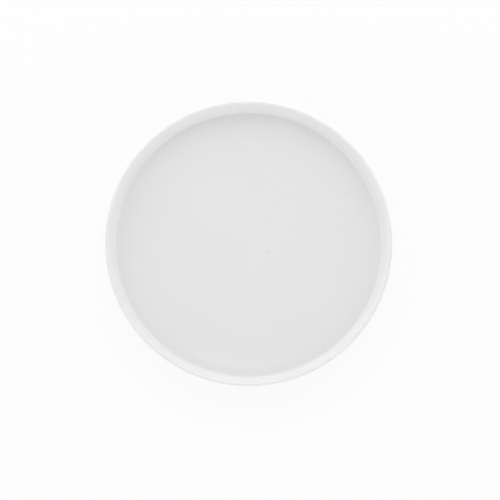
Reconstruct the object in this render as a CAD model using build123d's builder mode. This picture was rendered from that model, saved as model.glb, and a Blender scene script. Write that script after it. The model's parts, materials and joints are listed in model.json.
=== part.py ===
from build123d import *
import os
from math import atan2, cos, degrees, hypot, radians, tan

# A low round candle plate of white glazed stoneware: a flat well inside a raised rim, with a foot ring below
# and felt pads glued inside the ring. Millimetres, +Z up, origin on the table under the middle of the plate.

os.makedirs("parts", exist_ok=True)

# Plate: the well is the hollow for the candle, and the crest is the top of the rim. The floor of the well is flat
# and bends up a little at its edge. The wall leans outwards, more so in its upper part, and all leans are in
# degrees from the vertical.
rim_diameter = 140.0
well_depth = 7.4
floor_thickness = 4.5
floor_rise = 1.4
floor_edge_run = 17.5
floor_edge_straight = 0.4
well_fillet_radius = 1.9
lower_wall_lean = 14.0
upper_wall_lean = 47.0
upper_wall_rise = 2.0
wall_straight = 0.4
crest_inner_radius = 0.8
crest_land = 0.1
crest_outer_radius = 0.8
outer_wall_lean = 12.0
base_edge_radius = 4.0

# Foot ring, the unglazed band that the plate was fired on
foot_ring_inset = 9.0
foot_ring_width = 5.0
foot_ring_height = 1.0
foot_ring_edge_radius = 0.4

# Felt pads and the adhesive that holds them
pad_count = 4
pad_diameter = 14.0
pad_thickness = 2.0
pad_edge_radius = 0.3
pad_to_ring_clearance = 1.5
first_pad_angle = 45.0
adhesive_thickness = 0.2
adhesive_margin = 0.3


def run(rise, lean):
    """How far a wall of that rise goes sideways when it leans that many degrees from the vertical."""
    return rise * tan(radians(lean))


# Heights above the table, from the pads upwards
underside_z = pad_thickness + adhesive_thickness
ring_bottom_z = underside_z - foot_ring_height
well_floor_z = underside_z + floor_thickness
wall_foot_z = well_floor_z + floor_rise
crest_z = well_floor_z + well_depth
wall_bend_z = crest_z - upper_wall_rise

# Radii of the rim, the well and the base. The outer corner of the rim stands out far enough for the rounded rim
# to measure the full diameter.
rim_radius = rim_diameter / 2
crest_round_run = run(crest_inner_radius, (90 - upper_wall_lean) / 2)
crest_radius = rim_radius - crest_outer_radius - crest_land - crest_round_run
wall_bend_radius = crest_radius - run(upper_wall_rise, upper_wall_lean)
well_radius = wall_bend_radius - run(wall_bend_z - wall_foot_z, lower_wall_lean)
rim_corner_excess = run(crest_outer_radius, outer_wall_lean) + crest_outer_radius / cos(radians(outer_wall_lean))
rim_corner_radius = rim_radius - crest_outer_radius + rim_corner_excess
base_radius = rim_corner_radius - run(crest_z - underside_z, outer_wall_lean)

# Two slow arcs bend the floor, halfway along its rising edge, and the wall. Each leaves a short straight beside the
# smaller roundings next to it.
floor_bend_run = floor_edge_run / 2
floor_slope = degrees(atan2(floor_rise, floor_bend_run))
fillet_reach = run(well_fillet_radius, (90 - lower_wall_lean - floor_slope) / 2)
floor_bend_reach = hypot(floor_bend_run, floor_rise) - fillet_reach - floor_edge_straight
floor_bend_radius = floor_bend_reach / tan(radians(floor_slope / 2))
lower_wall_length = (wall_bend_z - wall_foot_z) / cos(radians(lower_wall_lean))
upper_wall_length = upper_wall_rise / cos(radians(upper_wall_lean))
crown_reach = min(lower_wall_length - fillet_reach, upper_wall_length - crest_round_run) - wall_straight
wall_crown_radius = crown_reach / tan(radians((upper_wall_lean - lower_wall_lean) / 2))

# Radii of the foot ring, and of the circle that the pads stand on inside it
ring_outer_radius = rim_radius - foot_ring_inset
ring_inner_radius = ring_outer_radius - foot_ring_width
pad_radius = pad_diameter / 2
adhesive_radius = pad_radius - adhesive_margin
pad_circle_radius = ring_inner_radius - pad_to_ring_clearance - pad_radius

# Plate: half of its section, turned about the middle. Each corner comes with the radius of its rounding.
sharp = 0
section_corners = [
    ((well_radius - floor_bend_run, well_floor_z), floor_bend_radius),
    ((well_radius, wall_foot_z), well_fillet_radius),
    ((wall_bend_radius, wall_bend_z), wall_crown_radius),
    ((crest_radius, crest_z), crest_inner_radius),
    ((rim_corner_radius, crest_z), crest_outer_radius),
    ((base_radius, underside_z), base_edge_radius),
    ((ring_outer_radius, underside_z), sharp),
    ((ring_outer_radius, ring_bottom_z), foot_ring_edge_radius),
    ((ring_inner_radius, ring_bottom_z), foot_ring_edge_radius),
    ((ring_inner_radius, underside_z), sharp),
]
with BuildPart() as plate:
    with BuildSketch(Plane.XZ):
        with BuildLine():
            skin = FilletPolyline(
                (0, well_floor_z),
                [corner for corner, rounding in section_corners],
                (0, underside_z),
                radius=[rounding for corner, rounding in section_corners],
            )
            Line(skin @ 1, skin @ 0)
        make_face()
    revolve(axis=Axis.Z)
plate.part.label = "plate"
export_step(plate.part, "parts/plate.step")

# Felt pads, evenly round the middle, each under its disc of adhesive
for number in range(1, pad_count + 1):
    pad_angle = first_pad_angle + (number - 1) * 360 / pad_count

    with BuildPart() as felt_pad:
        with BuildSketch(Plane.XY):
            with PolarLocations(pad_circle_radius, 1, start_angle=pad_angle):
                Circle(pad_radius)
        extrude(amount=pad_thickness)
        fillet(felt_pad.edges().group_by(Axis.Z)[0], pad_edge_radius)
    felt_pad.part.label = f"felt_pad_{number}"
    export_step(felt_pad.part, f"parts/felt_pad_{number}.step")

    with BuildPart() as adhesive_disc:
        with BuildSketch(Plane.XY.offset(pad_thickness)):
            with PolarLocations(pad_circle_radius, 1, start_angle=pad_angle):
                Circle(adhesive_radius)
        extrude(amount=adhesive_thickness)
    adhesive_disc.part.label = f"adhesive_disc_{number}"
    export_step(adhesive_disc.part, f"parts/adhesive_disc_{number}.step")
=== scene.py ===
# %% [markdown]
# # A candle plate of white stoneware
# The object is a low round plate that a pillar candle stands on: a flat well inside a narrow raised rim, glazed
# white all over but for the foot ring that it was fired on. Felt discs glued inside the ring keep it off the table.
# The solids are already made at their real size, so this lesson dresses them: better meshes where a surface is
# uneven or soft, finishes made of nodes, and a plain studio round them. It starts by loading the solids as a frame
# that nothing here moves.

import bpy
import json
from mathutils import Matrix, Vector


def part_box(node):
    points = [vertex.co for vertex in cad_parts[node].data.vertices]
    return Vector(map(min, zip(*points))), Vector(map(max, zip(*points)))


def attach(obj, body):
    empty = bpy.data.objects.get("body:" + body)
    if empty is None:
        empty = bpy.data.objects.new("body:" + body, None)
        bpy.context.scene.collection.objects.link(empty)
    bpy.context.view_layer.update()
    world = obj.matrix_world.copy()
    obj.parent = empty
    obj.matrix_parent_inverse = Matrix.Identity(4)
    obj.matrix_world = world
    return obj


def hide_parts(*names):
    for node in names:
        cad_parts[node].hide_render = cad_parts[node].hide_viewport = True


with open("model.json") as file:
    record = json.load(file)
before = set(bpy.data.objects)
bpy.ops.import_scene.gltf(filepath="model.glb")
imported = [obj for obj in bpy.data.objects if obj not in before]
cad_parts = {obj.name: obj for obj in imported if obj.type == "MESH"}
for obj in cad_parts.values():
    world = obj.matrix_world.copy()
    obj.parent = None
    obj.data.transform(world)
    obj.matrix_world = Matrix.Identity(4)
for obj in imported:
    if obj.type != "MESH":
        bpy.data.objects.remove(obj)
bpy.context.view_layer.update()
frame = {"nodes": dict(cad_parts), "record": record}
print("nodes:", sorted(frame["nodes"]))

# %% [markdown]
# ## Sizes
# Whatever the solids can tell is read from them, so a change of size there carries over: how wide and high the
# plate is, and where its well, its underside and its pads lie. Blender counts in metres, so the sizes that are
# left, such as leans and roundings, are written in millimetres and turned into metres with one factor.

# %% Read the main sizes from the frame
import json
from math import atan2, cos, degrees, hypot, pi, radians, sin, tan

import bpy
from mathutils import Matrix, Vector

mm = 0.001
plate_low, plate_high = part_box("plate")
rim_radius = plate_high.x
crest_z = plate_high.z
ring_bottom_z = plate_low.z
underside_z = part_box("adhesive_disc_1")[1].z
mounts = {mount["name"]: mount for mount in frame["record"]["mounts"]}
well_floor_z = mounts["candle_seat"]["pos_m"][2]
pad_nodes = sorted(name for name in frame["nodes"] if name.startswith("felt_pad"))
film_nodes = sorted(name for name in frame["nodes"] if name.startswith("adhesive_disc"))
print(f"rim {2 * rim_radius / mm:.1f} mm across, crest {crest_z / mm:.2f} mm up, {len(pad_nodes)} pads")

# %% [markdown]
# ## Sums with sockets
# A node tree gets hard to read when every sum is four lines of nodes and links. This small class wraps one output
# socket, and Python's own operators then add the Math nodes, so that a mask can be written as 1 - a * b. Its node
# method adds any other node: first its settings, then a number or a wire for each input that matters. The sockets
# are named by their identifiers, because some nodes have several sockets with the same name.


# %% A class for wires
class Wire:
    """One output socket of a node tree, which takes part in Python sums."""

    def __init__(self, tree, socket=None):
        self.tree = tree
        self.socket = socket

    def node(self, kind, settings=None, sockets=None, out=None):
        """Adds a node with these settings and inputs, and gives the output asked for, or the first."""
        made = self.tree.nodes.new(kind)
        for name, value in (settings or {}).items():
            setattr(made, name, value)
        inputs = {socket.identifier: socket for socket in made.inputs}
        for name, value in (sockets or {}).items():
            for single in value if isinstance(value, list) else [value]:
                if isinstance(single, Wire):
                    self.tree.links.new(single.socket, inputs[name])
                else:
                    inputs[name].default_value = single
        outputs = {socket.identifier: socket for socket in made.outputs}
        return Wire(self.tree, outputs.get(out) or next(iter(outputs.values()), None))

    def math(self, operation, first, second=0.0):
        """A Math node on one or two numbers or wires."""
        values = {"Value": first, "Value_001": second}
        return self.node("ShaderNodeMath", {"operation": operation}, values)

    def __add__(self, other):
        return self.math("ADD", self, other)

    def __radd__(self, other):
        return self.math("ADD", other, self)

    def __sub__(self, other):
        return self.math("SUBTRACT", self, other)

    def __rsub__(self, other):
        return self.math("SUBTRACT", other, self)

    def __mul__(self, other):
        return self.math("MULTIPLY", self, other)

    def __rmul__(self, other):
        return self.math("MULTIPLY", other, self)

    def __truediv__(self, other):
        return self.math("DIVIDE", self, other)

    def __rtruediv__(self, other):
        return self.math("DIVIDE", other, self)

    def __pow__(self, other):
        return self.math("POWER", self, other)

    def __abs__(self):
        return self.math("ABSOLUTE", self)

    def __lt__(self, other):
        return self.math("LESS_THAN", self, other)

    def __gt__(self, other):
        return self.math("GREATER_THAN", self, other)

    def at_least(self, other):
        """The larger of the two."""
        return self.math("MAXIMUM", self, other)


print("a wire can be added, taken away, multiplied, divided, raised to a power and compared")

# %% [markdown]
# ## Recipes in Geometry Nodes
# Each tree is a small recipe with named inputs for its sizes, so that one recipe makes several pieces. It runs as a
# modifier, and its result is then kept as a plain mesh, because a finished piece carries no modifier. A modifier's
# inputs are set by their identifiers, and before the piece is evaluated for the first time.


# %% Open, close and run a recipe
def new_recipe(name, inputs):
    """An empty Geometry Nodes tree with these named inputs, and a wire for each of them."""
    tree = bpy.data.node_groups.new(name, "GeometryNodeTree")
    for label, kind in {"Geometry": "Geometry", **inputs}.items():
        tree.interface.new_socket(label, in_out="INPUT", socket_type="NodeSocket" + kind)
    tree.interface.new_socket("Geometry", in_out="OUTPUT", socket_type="NodeSocketGeometry")
    entry = tree.nodes.new("NodeGroupInput")
    return tree, {socket.name: Wire(tree, socket) for socket in entry.outputs}


def end_recipe(geometry, finish):
    """Realizes the instances, sets the finish and closes the tree."""
    real = geometry.node("GeometryNodeRealizeInstances", None, {"Geometry": geometry})
    painted = geometry.node("GeometryNodeSetMaterial", None, {"Geometry": real, "Material": finish})
    end = geometry.tree.nodes.new("NodeGroupOutput")
    geometry.tree.links.new(painted.socket, end.inputs[0])
    print(f"{geometry.tree.name}: {len(geometry.tree.nodes)} nodes")


def make_piece(name, start, steps):
    """Runs one or more recipes on a starting mesh and keeps the result as a plain mesh."""
    piece = bpy.data.objects.new(name, start)
    bpy.context.scene.collection.objects.link(piece)
    for tree, sizes in steps:
        modifier = piece.modifiers.new(tree.name, "NODES")
        modifier.node_group = tree
        for item in tree.interface.items_tree:
            if item.in_out == "INPUT" and item.name in sizes:
                modifier[item.identifier] = sizes[item.name]
    depsgraph = bpy.context.evaluated_depsgraph_get()
    mesh = bpy.data.meshes.new_from_object(piece.evaluated_get(depsgraph), depsgraph=depsgraph)
    piece.modifiers.clear()
    piece.data = mesh
    mesh.name = name
    mesh.calc_loop_triangles()
    print(f"{name}: {len(mesh.loop_triangles)} triangles")
    return piece


print("recipes run in Blender", bpy.app.version_string)

# %% [markdown]
# ## The recipe for turned pieces
# A plate, a disc of felt and a film of adhesive are all round, so one recipe turns them as a lathe would. It takes
# half of the section as a chain of corners, each with the radius of its rounding. Fillet Curve rounds the corners,
# long runs are cut into short ones, and Curve to Mesh sweeps the section round a tiny circle, the axle. Where the
# section meets the axis its points fall together, and merging them closes the middle. A Screw modifier could turn
# the section too, but here the roundings and the unevenness of the clay stay sizes that can be changed. The
# unevenness is a slow noise that only takes material away, so a piece never leaves the space of its solid.

# %% Build the turning recipe
axle_radius = 1 * mm
merge_distance = 0.005 * mm
turning_inputs = {
    "Steps round": "Int",
    "Rounding steps": "Int",
    "Longest run": "Float",
    "Unevenness": "Float",
    "Unevenness size": "Float",
    "Seed": "Float",
    "Place": "Vector",
    "Finish": "Material",
}
turning, given = new_recipe("Turned piece", turning_inputs)
lathe = Wire(turning)
chain = lathe.node("GeometryNodeMeshToCurve", None, {"Mesh": given["Geometry"]})
radius = lathe.node("GeometryNodeInputNamedAttribute", None, {"Name": "rounding"})
rounding = {"Curve": chain, "Count": given["Rounding steps"], "Radius": radius, "Limit Radius": True}
rounded = lathe.node("GeometryNodeFilletCurve", {"mode": "POLY"}, rounding)

here = lathe.node("GeometryNodeInputPosition")
next_one = {"Value": here, "Index": lathe.node("GeometryNodeInputIndex") + 1}
there = lathe.node("GeometryNodeFieldAtIndex", {"data_type": "FLOAT_VECTOR"}, next_one)
ends = {"Vector": here, "Vector_001": there}
run_length = lathe.node("ShaderNodeVectorMath", {"operation": "DISTANCE"}, ends, "Value")
cuts = {"Curve": rounded, "Cuts": run_length / given["Longest run"]}
fine = lathe.node("GeometryNodeSubdivideCurve", None, cuts)

section = lathe.node("GeometryNodeSetPosition", None, {"Geometry": fine, "Offset": (-axle_radius, 0, 0)})
round_sizes = {"Resolution": given["Steps round"], "Radius": axle_radius}
axle = lathe.node("GeometryNodeCurvePrimitiveCircle", None, round_sizes)
swept = lathe.node("GeometryNodeCurveToMesh", None, {"Curve": axle, "Profile Curve": section})
closed = lathe.node("GeometryNodeMergeByDistance", None, {"Geometry": swept, "Distance": merge_distance})

waves = {"W": given["Seed"], "Scale": 1 / given["Unevenness size"], "Detail": 1.0}
wave = lathe.node("ShaderNodeTexNoise", {"noise_dimensions": "4D"}, waves, "Fac")
out_of_face = lathe.node("GeometryNodeInputNormal")
inwards = {"Vector": out_of_face, "Scale": -1 * given["Unevenness"] * wave}
shift = lathe.node("ShaderNodeVectorMath", {"operation": "SCALE"}, inwards)
uneven = lathe.node("GeometryNodeSetPosition", None, {"Geometry": closed, "Offset": shift})
placed = lathe.node("GeometryNodeTransform", None, {"Geometry": uneven, "Translation": given["Place"]})
smooth = lathe.node("GeometryNodeSetShadeSmooth", None, {"Geometry": placed})
end_recipe(smooth, given["Finish"])

# %% [markdown]
# ## Helpers for finishes
# Every finish is a Principled shader whose colour, roughness and relief come from noise in the piece's own
# coordinates, so it stays put when the piece or the camera moves. A few helpers cover what the finishes share:
# noise of a given size, a smooth step, a blend of two colours or of two shades of one, a soft round spot, and
# scattered dots, which are the cells of a Voronoi texture with only some of them kept. Relief is written as a
# height in metres, so its sizes can be checked.

# %% Helpers for finishes
spot_core, spot_reach = 0.6, 1.1
slot_colours = {material["slot"]: (*material["base_color"], 1.0) for material in frame["record"]["materials"]}


def new_finish(name):
    """An empty material, and a wire with the place on the piece."""
    material = bpy.data.materials.new(name)
    material.use_nodes = True
    material.node_tree.nodes.clear()
    return material, Wire(material.node_tree).node("ShaderNodeTexCoord", None, None, "Object")


def end_finish(material, point, sockets):
    """Closes a material with a Principled shader."""
    shader = point.node("ShaderNodeBsdfPrincipled", None, sockets)
    point.node("ShaderNodeOutputMaterial", None, {"Surface": shader})
    print(f"{material.name}: {len(point.tree.nodes)} nodes")
    return material


def shade(colour, factor):
    """A lighter or darker version of a colour."""
    return (*[channel * factor for channel in colour[:3]], 1.0)


def cloud(point, size, detail=2.0, seed=0.0):
    """Noise from 0 to 1 whose blots are about that size."""
    sockets = {"Vector": point, "W": seed, "Scale": 1 / size, "Detail": detail}
    return point.node("ShaderNodeTexNoise", {"noise_dimensions": "4D"}, sockets, "Fac")


def step(value, low, high):
    """0 below low, 1 above high, and smooth between them."""
    sockets = {"Value": value, "From Min": low, "From Max": high}
    return value.node("ShaderNodeMapRange", {"interpolation_type": "SMOOTHSTEP"}, sockets, "Result")


def blend(factor, first, second):
    """A colour between two others."""
    sockets = {"Factor_Float": factor, "A_Color": first, "B_Color": second}
    return factor.node("ShaderNodeMix", {"data_type": "RGBA"}, sockets, "Result_Color")


def vary(factor, colour, darkest, lightest):
    """A colour that goes from a darker to a lighter shade of itself."""
    return blend(factor, shade(colour, darkest), shade(colour, lightest))


def spot(far, radius):
    """1 in the middle of a round spot with a soft edge, and 0 outside, from the distance to its middle."""
    return 1 - step(far, spot_core * radius, spot_reach * radius)


def dots(point, spacing, radius, share):
    """1 in scattered spots of that radius: the middles of a share of the cells that lie that far apart."""
    cells = {"Vector": point, "Scale": 1 / spacing}
    far = point.node("ShaderNodeTexVoronoi", None, cells, "Distance") * spacing
    draw = point.node("ShaderNodeTexVoronoi", None, cells, "Color")
    chosen = point.node("ShaderNodeSeparateColor", None, {"Color": draw}, "Red") < share
    return spot(far, radius) * chosen


def relief(height):
    """A bumped normal from a height in metres."""
    sockets = {"Height": height, "Strength": 1.0, "Distance": 1.0}
    return height.node("ShaderNodeBump", None, sockets, "Normal")


print("colours in the record:", slot_colours)

# %% [markdown]
# ## Specks in the glaze
# Stoneware clay holds grains of iron that melt into tiny dark specks in a white glaze. On the real plate over a dozen
# of them can be made out, so those are listed one by one: how far they lie to the right and away from the middle,
# and their radius, all in millimetres. A painted picture could hold them too, but a mask of distances stays sharp
# at any size and needs no file.

# %% Place the specks
speck_colour = (0.20, 0.17, 0.14, 1.0)
speck_strength = 0.85
upper_side_z = well_floor_z - 1 * mm
placed_specks = [
    (47.0, 25.0, 0.20),
    (10.0, -3.5, 0.26),
    (-38.5, 55.5, 0.16),
    (-45.5, -43.0, 0.17),
    (-48.5, 13.0, 0.15),
    (38.5, 26.0, 0.13),
    (-48.0, -9.0, 0.17),
    (-18.0, -60.5, 0.14),
    (36.0, 44.5, 0.16),
    (11.0, 11.0, 0.15),
    (7.5, -34.5, 0.14),
    (46.0, 41.5, 0.12),
    (37.5, -16.5, 0.14),
    (22.5, 56.5, 0.14),
]


def flatten(point):
    """The place on the piece without its height."""
    sockets = {"Vector": point, "Vector_001": (1, 1, 0)}
    return point.node("ShaderNodeVectorMath", {"operation": "MULTIPLY"}, sockets)


def placed_speck_mask(point, height):
    """1 in the listed specks, on the upper side only."""
    flat = flatten(point)
    mask = 0.0
    for across, along, radius in placed_specks:
        ends = {"Vector": flat, "Vector_001": (across * mm, along * mm, 0)}
        far = point.node("ShaderNodeVectorMath", {"operation": "DISTANCE"}, ends, "Value")
        mask = spot(far, radius * mm) + mask
    return mask * (height > upper_side_z)


print(f"{len(placed_specks)} specks placed by hand")

# %% [markdown]
# ## Bare clay
# The foot ring is wiped clean before firing, because glaze would stick it to the kiln's shelf. So it shows the bare
# clay: a matt, warm, grainy band whose upper edge wanders with the sponge that wiped it. A second material on those
# faces would end in a hard line, so the band is a mask, cut off by height and by distance from the middle.

# %% Find the bare clay
clay_colour = (0.60, 0.54, 0.46, 1.0)
clay_shades = (0.82, 1.12)
foot_ring_inset, foot_ring_width = 9.0 * mm, 5.0 * mm
ring_outer_radius = rim_radius - foot_ring_inset
ring_inner_radius = ring_outer_radius - foot_ring_width
wiped_height, wiped_edge = 0.45 * mm, 0.15 * mm
wiped_z = ring_bottom_z + wiped_height
wiped_wave, wiped_wave_size = 0.3 * mm, 2 * mm
wiped_inner_edge = 0.5 * mm


def bare_clay_mask(point, height):
    """1 on the foot ring, up to the line where the wiping stopped."""
    radius = point.node("ShaderNodeVectorMath", {"operation": "LENGTH"}, {"Vector": flatten(point)}, "Value")
    wave = cloud(point, wiped_wave_size, seed=5.0) * wiped_wave
    low_down = 1 - step(height + wave, wiped_z, wiped_z + wiped_edge)
    return low_down * step(radius, ring_inner_radius - wiped_inner_edge, ring_inner_radius)


print(f"bare clay up to {wiped_z / mm:.2f} mm, from {ring_inner_radius / mm:.0f} mm outwards")

# %% [markdown]
# ## White glaze
# The glaze is never quite even: it pools a little thicker here than there, gas leaves pinholes, and its surface
# has a faint orange peel. A painted highlight also makes the glaze paler along the crest of the rim, standing in for
# the light that the crest catches. One shader with masks does all of that, clay and specks included, because it is
# one fired piece. The body of the glaze is satin. A faint coat over it is smoother, and holds the one crisp
# reflection that such a plate shows, a crescent near its front edge.

# %% Mix the glaze
pool_size, pool_contrast = 24 * mm, 0.015
# painted highlight along the crest of the rim: its band, its soft edge and how much paler it makes the glaze
crest_highlight_band, crest_highlight_edge, crest_painted_highlight = 0.35 * mm, 0.2 * mm, 0.04
grain_size, grain_share = 0.5 * mm, 0.25
stray_specks = {"spacing": 5 * mm, "radius": 0.09 * mm, "share": 0.6}
pinholes = {"spacing": 3 * mm, "radius": 0.12 * mm, "share": 0.3}
pinhole_depth = 0.01 * mm
peel_size, peel_height = 1.6 * mm, 0.0006 * mm
clay_grain_size, clay_grain_height = 0.25 * mm, 0.03 * mm
glaze_roughness, pooled_roughness, clay_roughness = 0.31, 0.06, 0.5
coat_weight, coat_roughness = 0.12, 0.08


def make_white_glaze():
    material, point = new_finish("White glaze")
    height = point.node("ShaderNodeSeparateXYZ", None, {"Vector": point}, "Z")
    white = slot_colours["white_glaze"]
    pooled = cloud(point, pool_size, detail=3.0)
    mottle = (1 - grain_share) * pooled + grain_share * cloud(point, grain_size, seed=3.0)
    glaze = vary(mottle, white, 1 - pool_contrast, 1 + pool_contrast)
    # painted highlight: the glaze is made paler along the crest, where the crest catches the light
    crest_highlight_mask = step(height, crest_z - crest_highlight_band, crest_z - crest_highlight_band + crest_highlight_edge)
    glaze = blend(crest_highlight_mask, glaze, shade(white, 1 + crest_painted_highlight))
    specks = placed_speck_mask(point, height).at_least(dots(point, **stray_specks))
    glaze = blend(specks * speck_strength, glaze, speck_colour)

    bare = bare_clay_mask(point, height)
    clay_grain = cloud(point, clay_grain_size, detail=3.0, seed=7.0)
    clay = vary(clay_grain, clay_colour, *clay_shades)
    peel = cloud(point, peel_size, detail=1.0, seed=9.0) * peel_height
    skin = peel - dots(point, **pinholes) * pinhole_depth
    sockets = {
        "Base Color": blend(bare, glaze, clay),
        "Roughness": glaze_roughness + pooled_roughness * pooled + clay_roughness * bare,
        "IOR": 1.5,
        "Coat Weight": coat_weight * (1 - bare),
        "Coat Roughness": coat_roughness,
        "Normal": relief(skin * (1 - bare) + clay_grain * clay_grain_height * bare),
    }
    return end_finish(material, point, sockets)


white_glaze = make_white_glaze()

# %% [markdown]
# ## Felt
# The felt of furniture pads is a dense mat of grey and oatmeal fibres. Two noises of fibre size, one of them drawn
# out lengthwise, give its colour and its relief, and a slower one gives the tufts. Real fibres everywhere would be
# far too many faces, so they only stand round the edge, and come later. The sheen is there because loose fibres at
# the surface catch the light.

# %% Mix the felt
fibre_width, tangle_size, tuft_size = 0.12 * mm, 0.3 * mm, 2.5 * mm
drawn_out = (1.0, 0.25, 1.0)
strand_share, fibre_contrast = 0.5, (0.3, 0.7)
felt_shades = (0.72, 1.22)
tuft_share, tuft_shade = 0.35, 0.85
felt_roughness, fibre_roughness = 0.85, 0.12
felt_relief = 0.06 * mm


def make_felt():
    material, point = new_finish("Oatmeal felt")
    wool = slot_colours["felt"]
    lengthwise = point.node("ShaderNodeMapping", None, {"Vector": point, "Scale": drawn_out})
    strands = cloud(lengthwise, fibre_width, detail=3.0)
    tangle = cloud(point, tangle_size, detail=3.0, seed=2.0)
    fibres = strand_share * strands + (1 - strand_share) * tangle
    tufts = tuft_share * cloud(point, tuft_size, seed=4.0)
    mottled = vary(step(fibres, *fibre_contrast), wool, *felt_shades)
    sockets = {
        "Base Color": blend(tufts, mottled, shade(wool, tuft_shade)),
        "Roughness": felt_roughness + fibre_roughness * fibres,
        "Sheen Weight": 0.3,
        "Sheen Roughness": 0.5,
        "Normal": relief(fibres * felt_relief),
    }
    return end_finish(material, point, sockets)


felt = make_felt()

# %% [markdown]
# ## Adhesive
# The adhesive on the back of the felt is a film of yellowish acrylic. A roller spread it, so it has streaks that run
# one way, which is noise drawn out along one axis, and a few small bubbles were caught in it.

# %% Mix the adhesive
streak_width, streak_height = 0.5 * mm, 0.01 * mm
spread = (0.1, 1.0, 1.0)
film_shades = (0.9, 1.08)
film_roughness, streak_roughness = 0.32, 0.2
bubbles = {"spacing": 1.2 * mm, "radius": 0.25 * mm, "share": 0.4}
bubble_height = 0.02 * mm


def make_adhesive():
    material, point = new_finish("Acrylic adhesive")
    film = slot_colours["adhesive"]
    along_roller = point.node("ShaderNodeMapping", None, {"Vector": point, "Scale": spread})
    streaks = cloud(along_roller, streak_width)
    sockets = {
        "Base Color": vary(streaks, film, *film_shades),
        "Roughness": film_roughness + streak_roughness * streaks,
        "Normal": relief(streaks * streak_height + dots(point, **bubbles) * bubble_height),
    }
    return end_finish(material, point, sockets)


adhesive = make_adhesive()

# %% [markdown]
# ## The section of the plate
# The plate is pressed and turned on a wheel, so its shape is one section turned about its middle. The corners are
# those of the solid: a flat floor that bends up a little at its edge, a wall that leans outwards, more so in its
# upper part, a narrow crest, an outer wall that runs in towards the base, and the foot ring. Tracing the section
# point by point would work too, but corners with roundings can be changed one at a time.

# %% Work out the section of the plate
floor_rise = 1.4 * mm
floor_edge_run = 17.5 * mm
floor_edge_straight = 0.4 * mm
well_fillet = 1.9 * mm
lower_wall_lean = 14.0
upper_wall_lean = 47.0
upper_wall_rise = 2.0 * mm
wall_straight = 0.4 * mm
crest_inner_rounding = 0.8 * mm
crest_land = 0.1 * mm
crest_outer_rounding = 0.8 * mm
outer_wall_lean = 12.0
base_edge_rounding = 4.0 * mm
ring_rounding = 0.4 * mm


def run(rise, lean):
    """How far a wall goes sideways over that rise when it leans that many degrees from the vertical."""
    return rise * tan(radians(lean))


wall_foot_z = well_floor_z + floor_rise
wall_bend_z = crest_z - upper_wall_rise
crest_round_run = run(crest_inner_rounding, (90 - upper_wall_lean) / 2)
crest_radius = rim_radius - crest_outer_rounding - crest_land - crest_round_run
wall_bend_radius = crest_radius - run(upper_wall_rise, upper_wall_lean)
well_radius = wall_bend_radius - run(wall_bend_z - wall_foot_z, lower_wall_lean)
rim_corner_excess = run(crest_outer_rounding, outer_wall_lean)
rim_corner_excess += crest_outer_rounding / cos(radians(outer_wall_lean))
rim_corner_radius = rim_radius - crest_outer_rounding + rim_corner_excess
base_radius = rim_corner_radius - run(crest_z - underside_z, outer_wall_lean)
floor_bend_run = floor_edge_run / 2
floor_slope = degrees(atan2(floor_rise, floor_bend_run))
fillet_reach = run(well_fillet, (90 - lower_wall_lean - floor_slope) / 2)
floor_bend_reach = hypot(floor_bend_run, floor_rise) - fillet_reach - floor_edge_straight
floor_bend_rounding = floor_bend_reach / tan(radians(floor_slope / 2))
lower_wall_length = (wall_bend_z - wall_foot_z) / cos(radians(lower_wall_lean))
upper_wall_length = upper_wall_rise / cos(radians(upper_wall_lean))
crown_reach = min(lower_wall_length - fillet_reach, upper_wall_length - crest_round_run) - wall_straight
wall_crown = crown_reach / tan(radians((upper_wall_lean - lower_wall_lean) / 2))
print(f"the wall's foot is {well_radius / mm:.1f} mm from the middle, its crest {crest_radius / mm:.1f} mm")

# %% [markdown]
# ## The plate
# The section goes through the turning recipe. Clay and glaze add a little: glaze rounds the corners beside the foot
# ring, and an unevenness of a few hundredths of a millimetre makes the reflections wander. The piece replaces the
# solid, which is true but has flat facets.


# %% Turn the plate
def half_section(name, corners):
    """A chain of corners, each a radius, a height and a rounding. Curve to Mesh lays Y downwards."""
    mesh = bpy.data.meshes.new(name)
    points = [(radius, -height, 0) for radius, height, rounding in corners]
    links = [(number, number + 1) for number in range(len(corners) - 1)]
    mesh.from_pydata(points, links, [])
    attribute = mesh.attributes.new("rounding", "FLOAT", "POINT")
    attribute.data.foreach_set("value", [rounding for radius, height, rounding in corners])
    return mesh


plate_corners = [
    (0, well_floor_z, 0),
    (well_radius - floor_bend_run, well_floor_z, floor_bend_rounding),
    (well_radius, wall_foot_z, well_fillet),
    (wall_bend_radius, wall_bend_z, wall_crown),
    (crest_radius, crest_z, crest_inner_rounding),
    (rim_corner_radius, crest_z, crest_outer_rounding),
    (base_radius, underside_z, base_edge_rounding),
    (ring_outer_radius, underside_z, ring_rounding),
    (ring_outer_radius, ring_bottom_z, ring_rounding),
    (ring_inner_radius, ring_bottom_z, ring_rounding),
    (ring_inner_radius, underside_z, ring_rounding),
    (0, underside_z, 0),
]
plate_sizes = {
    "Steps round": 320,
    "Rounding steps": 10,
    "Longest run": 2.5 * mm,
    "Unevenness": 0.05 * mm,
    "Unevenness size": 20 * mm,
    "Seed": 2.0,
    "Finish": white_glaze,
}
plate = make_piece("glazed_plate", half_section("plate_section", plate_corners), [(turning, plate_sizes)])
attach(plate, "root")
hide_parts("plate")

# %% [markdown]
# ## Loose fibres
# Cutting felt pulls fibres out of its edge, and they keep the edge from looking like rubber. A second recipe
# scatters them over the side of a disc. A hair system would do that too, but it isn't a mesh, and these fibres have
# to be in the finished mesh. A fibre is a short bent tube of three sides, turned at random about the direction that
# its face points in.

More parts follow.
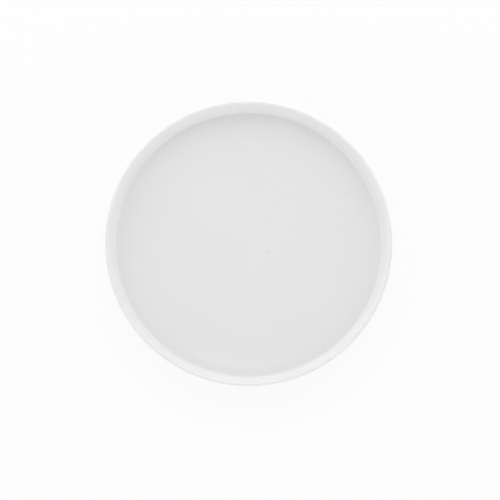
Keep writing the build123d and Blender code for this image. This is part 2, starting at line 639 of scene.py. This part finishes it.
# %% Build the fibre recipe
steepest_side = 0.6
shortest_share = 0.4
fibre_inputs = {
    "Fibres per area": "Float",
    "Fibre length": "Float",
    "Fibre thickness": "Float",
    "Lowest": "Float",
    "Highest": "Float",
    "Seed": "Int",
    "Finish": "Material",
}
fibres, given = new_recipe("Loose fibres", fibre_inputs)
carder = Wire(fibres)
facing = carder.node("GeometryNodeInputNormal")
upwards = carder.node("ShaderNodeSeparateXYZ", None, {"Vector": facing}, "Z")
where = carder.node("GeometryNodeInputPosition")
level = carder.node("ShaderNodeSeparateXYZ", None, {"Vector": where}, "Z")
on_side = (abs(upwards) < steepest_side) * (level > given["Lowest"]) * (level < given["Highest"])
scatter = {"Mesh": given["Geometry"], "Selection": on_side, "Density": given["Fibres per area"]}
scatter["Seed"] = given["Seed"]
roots = carder.node("GeometryNodeDistributePointsOnFaces", None, scatter, "Points")
upright = Wire(fibres, roots.socket.node.outputs["Rotation"])

bend = {"Resolution": 4, "Start": (0, 0, 0), "Middle": (0.3, 0, 0.35), "End": (1, 0.15, 0.1)}
spine = carder.node("GeometryNodeCurveQuadraticBezier", None, bend)
tube_radius = given["Fibre thickness"] / given["Fibre length"] * 0.5
tube = carder.node("GeometryNodeCurvePrimitiveCircle", None, {"Resolution": 3, "Radius": tube_radius})
strand_parts = {"Curve": spine, "Profile Curve": tube, "Fill Caps": True}
strand = carder.node("GeometryNodeCurveToMesh", None, strand_parts)

turn_range = {"Min_001": 0.0, "Max_001": 2 * pi, "Seed": given["Seed"]}
turn = carder.node("FunctionNodeRandomValue", None, turn_range, "Value_001")
spin = carder.node("FunctionNodeAxisAngleToRotation", None, {"Axis": (0, 0, 1), "Angle": turn})
turned = {"Rotation": upright, "Rotate By": spin}
direction = carder.node("FunctionNodeRotateRotation", {"rotation_space": "LOCAL"}, turned)
size_range = {"Min_001": shortest_share, "Max_001": 1.0, "Seed": given["Seed"] + 1}
size = carder.node("FunctionNodeRandomValue", None, size_range, "Value_001") * given["Fibre length"]
planted = {"Points": roots, "Instance": strand, "Rotation": direction, "Scale": size}
hairs = carder.node("GeometryNodeInstanceOnPoints", None, planted)
both = carder.node("GeometryNodeJoinGeometry", None, {"Geometry": [given["Geometry"], hairs]})
end_recipe(both, given["Finish"])

# %% [markdown]
# ## The felt pads
# Each pad is die-cut from felt: a low disc, a little rounded where it bears on the table, with fibres round its
# edge. Felt this dense lies flat and keeps its shape, so nothing needs to be simulated: the disc comes from the
# turning recipe, and the fibres from the second one. The fibres keep clear of the table and of the plate.

# %% Cut the pads
pad_lower_rounding = 0.45 * mm
pad_upper_rounding = 0.25 * mm
bare_below = 0.95 * mm
bare_above = 0.5 * mm


def make_pad(number, node):
    """One disc of felt with loose fibres round its edge."""
    low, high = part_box(node)
    middle = (low + high) / 2
    radius = (high.x - low.x) / 2
    corners = [
        (0, high.z, 0),
        (radius, high.z, pad_upper_rounding),
        (radius, low.z, pad_lower_rounding),
        (0, low.z, 0),
    ]
    disc = {
        "Steps round": 96,
        "Rounding steps": 6,
        "Longest run": 0.5 * mm,
        "Unevenness": 0.09 * mm,
        "Unevenness size": 0.9 * mm,
        "Seed": 10.0 + number,
        "Place": (middle.x, middle.y, 0),
        "Finish": felt,
    }
    fuzz = {
        "Fibres per area": 5.0 / mm ** 2,
        "Fibre length": 0.7 * mm,
        "Fibre thickness": 0.03 * mm,
        "Lowest": low.z + bare_below,
        "Highest": high.z - bare_above,
        "Seed": 20 + number,
        "Finish": felt,
    }
    start = half_section(f"felt_section_{number}", corners)
    pad = make_piece(f"felt_disc_{number}", start, [(turning, disc), (fibres, fuzz)])
    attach(pad, "root")
    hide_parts(node)


for number, node in enumerate(pad_nodes, 1):
    make_pad(number, node)

# %% [markdown]
# ## The adhesive films
# Between each pad and the plate lies a film of adhesive, a fifth of a millimetre thick. It squeezes out a little
# unevenly, so its edge wanders. That is the turning recipe again, with a small unevenness.

# %% Spread the adhesive
edge_rounding_share = 0.4


def make_film(number, node):
    """One film of adhesive on the back of a pad."""
    low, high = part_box(node)
    middle = (low + high) / 2
    radius = (high.x - low.x) / 2
    edge_rounding = (high.z - low.z) * edge_rounding_share
    corners = [(0, high.z, 0), (radius, high.z, edge_rounding), (radius, low.z, edge_rounding), (0, low.z, 0)]
    sizes = {
        "Steps round": 96,
        "Rounding steps": 4,
        "Longest run": 1 * mm,
        "Unevenness": 0.04 * mm,
        "Unevenness size": 2 * mm,
        "Seed": 30.0 + number,
        "Place": (middle.x, middle.y, 0),
        "Finish": adhesive,
    }
    start = half_section(f"film_section_{number}", corners)
    film = make_piece(f"adhesive_film_{number}", start, [(turning, sizes)])
    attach(film, "root")
    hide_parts(node)


for number, node in enumerate(film_nodes, 1):
    make_film(number, node)

# %% [markdown]
# ## The floor
# The plate lies on white card. A bright enough lamp would make the card white, but it would bleach the plate too. So
# to the camera most of the card's light is an even white, and the rest is the card as it is lit, which keeps the
# plate's shadow. Right under the plate the card shows only as it is lit, so that from a low angle the dark gap is
# there and the plate doesn't seem to float. Rays that reach the eye by a reflection see the same card.

# %% Lay the floor
floor_half = 4.0
card_colour = (0.92, 0.92, 0.92, 1)
pure_white = (1, 1, 1, 1)
seen_white = 0.85
deep_shadow, open_card = 0.85 * rim_radius, 0.97 * rim_radius


def rays_to_the_eye(wire):
    """1 for rays from the camera and for what it sees in reflections and through glass."""
    paths = ["Is Camera Ray", "Is Glossy Ray", "Is Transmission Ray"]
    camera, glossy, through = [wire.node("ShaderNodeLightPath", None, None, path) for path in paths]
    return camera.at_least(glossy).at_least(through)


def make_card():
    """The finish of the floor: matt card, mostly an even white to the eye except under the plate."""
    material, point = new_finish("White card")
    far = point.node("ShaderNodeVectorMath", {"operation": "LENGTH"}, {"Vector": point}, "Value")
    evenly_white = seen_white * step(far, deep_shadow, open_card) * rays_to_the_eye(point)
    matt = point.node("ShaderNodeBsdfDiffuse", None, {"Color": card_colour})
    glow = point.node("ShaderNodeEmission", None, {"Color": pure_white, "Strength": 1.0})
    mix = {"Fac": evenly_white, "Shader": matt, "Shader_001": glow}
    surface = point.node("ShaderNodeMixShader", None, mix)
    point.node("ShaderNodeOutputMaterial", None, {"Surface": surface})
    return material


sheet = bpy.data.meshes.new("card")
card_corners = [
    (-floor_half, -floor_half, 0),
    (floor_half, -floor_half, 0),
    (floor_half, floor_half, 0),
    (-floor_half, floor_half, 0),
]
sheet.from_pydata(card_corners, [], [(0, 1, 2, 3)])
sheet.materials.append(make_card())
floor = bpy.data.objects.new("white_card", sheet)
bpy.context.scene.collection.objects.link(floor)
print(f"{floor.name}: {2 * floor_half} m square")

# %% [markdown]
# ## The light tent
# White ware is often photographed in a tent of white cloth, so that light comes from all round. Here the tent is the
# world itself: a pale dome, brighter in a broad band above the horizon, where the lamps outside the cloth would
# stand. The level is plain: a colour on a flat face renders about as it is written.

# %% Set up the light tent
top_light = 0.3
band_light = 1.16
band_lift = 20
band_middle = sin(radians(band_lift))
band_half = 0.37

tent = bpy.data.worlds.new("Light tent")
tent.use_nodes = True
tent.node_tree.nodes.clear()
bpy.context.scene.world = tent
cloth = Wire(tent.node_tree)
sky = cloth.node("ShaderNodeTexCoord", None, None, "Generated")
off_middle = cloth.node("ShaderNodeSeparateXYZ", None, {"Vector": sky}, "Z") - band_middle
band = (1 - (off_middle / band_half) ** 2).at_least(0.0) ** 0.5
pale = cloth.node("ShaderNodeBackground", None, {"Color": pure_white, "Strength": top_light})
bright = cloth.node("ShaderNodeBackground", None, {"Color": pure_white, "Strength": top_light + band_light})
walls = cloth.node("ShaderNodeMixShader", None, {"Fac": band, "Shader": pale, "Shader_001": bright})
cloth.node("ShaderNodeOutputWorld", None, {"Surface": walls})
print(f"{tent.name}: {top_light} overhead, {top_light + band_light:.2f} low down")

# %% [markdown]
# ## The lamps
# Light from all round leaves a shape flat, so four soft lamps hang outside the cloth. The brightest of the large
# ones, halfway up behind the plate, lights the near wall of the well and leaves the far wall in a soft shade. One low
# at the far left and one in front keep the other walls from going dull. A small oval one high up gives the faint
# crescent in the glaze near the front. Each lamp is given by its direction, by how wide and high it looks from the
# plate, and by how bright its face is.

# %% Hang the lamps
lamp_reach = 1.6


def seen_size(angle):
    """How large something is that looks that many degrees wide from the plate."""
    return 2 * lamp_reach * tan(radians(angle) / 2)


def hang_lamp(name, turn, lift, width, height, brightness):
    """An oval soft lamp, turned from the right anticlockwise and lifted from the floor, in degrees."""
    turn, lift = radians(turn), radians(lift)
    towards = Vector((cos(turn) * cos(lift), sin(turn) * cos(lift), sin(lift)))
    light = bpy.data.lights.new(name, "AREA")
    light.shape = "ELLIPSE"
    light.size = seen_size(width)
    light.size_y = seen_size(height)
    face_area = pi * light.size * light.size_y / 4
    light.energy = brightness * pi * face_area
    lamp = bpy.data.objects.new(name, light)
    bpy.context.scene.collection.objects.link(lamp)
    lamp.location = towards * lamp_reach
    lamp.rotation_mode = "QUATERNION"
    lamp.rotation_quaternion = towards.to_track_quat("Z", "Y")
    lamp.visible_camera = False
    print(f"{name}: {light.size:.2f} m wide, {light.energy:.2f} W")


hang_lamp("far_softbox", turn=86, lift=45, width=45, height=45, brightness=1.4)
hang_lamp("far_left_softbox", turn=135, lift=20, width=45, height=45, brightness=0.47)
hang_lamp("near_softbox", turn=280, lift=40, width=45, height=45, brightness=0.6)
hang_lamp("top_softbox", turn=82, lift=74, width=7, height=3.8, brightness=7.5)

# %% [markdown]
# ## The camera
# The plate is seen almost from straight above, a little from the near side and the left, through a long lens. How
# large the rim is in the picture, and where its middle lies, set the lens and the point that is aimed at, so no
# shift is needed. The picture's upright follows the frame's Y, although the camera leans sideways too.

# %% Set up the camera
picture_side = 500
rim_radius_in_picture = 143.8
rim_middle_in_picture = (248.3, 242.45)
camera_turn = radians(-10)
camera_lift = radians(82.6)
camera_reach = 2.5
sensor_width = 36

pixel = rim_radius / rim_radius_in_picture
back = Vector((sin(camera_turn) * cos(camera_lift), -cos(camera_turn) * cos(camera_lift), sin(camera_lift)))
right = Vector((0, 1, 0)).cross(back).normalized()
up = back.cross(right)
middle = (picture_side - 1) / 2
aside = (rim_middle_in_picture[0] - middle) * pixel
above = (middle - rim_middle_in_picture[1]) * pixel
aim = Vector((0, 0, crest_z)) - right * aside - up * above

lens = bpy.data.cameras.new("Long lens")
lens.sensor_width = sensor_width
lens.lens = sensor_width * camera_reach / (picture_side * pixel)
camera = bpy.data.objects.new("camera", lens)
bpy.context.scene.collection.objects.link(camera)
camera.rotation_mode = "QUATERNION"
camera.rotation_quaternion = Matrix((right, up, back)).transposed().to_quaternion()
camera.location = aim + back * camera_reach
bpy.context.scene.camera = camera
bpy.context.scene.view_settings.view_transform = "Standard"
print(f"camera: {lens.lens:.0f} mm lens, {camera.location.z:.3f} m up")
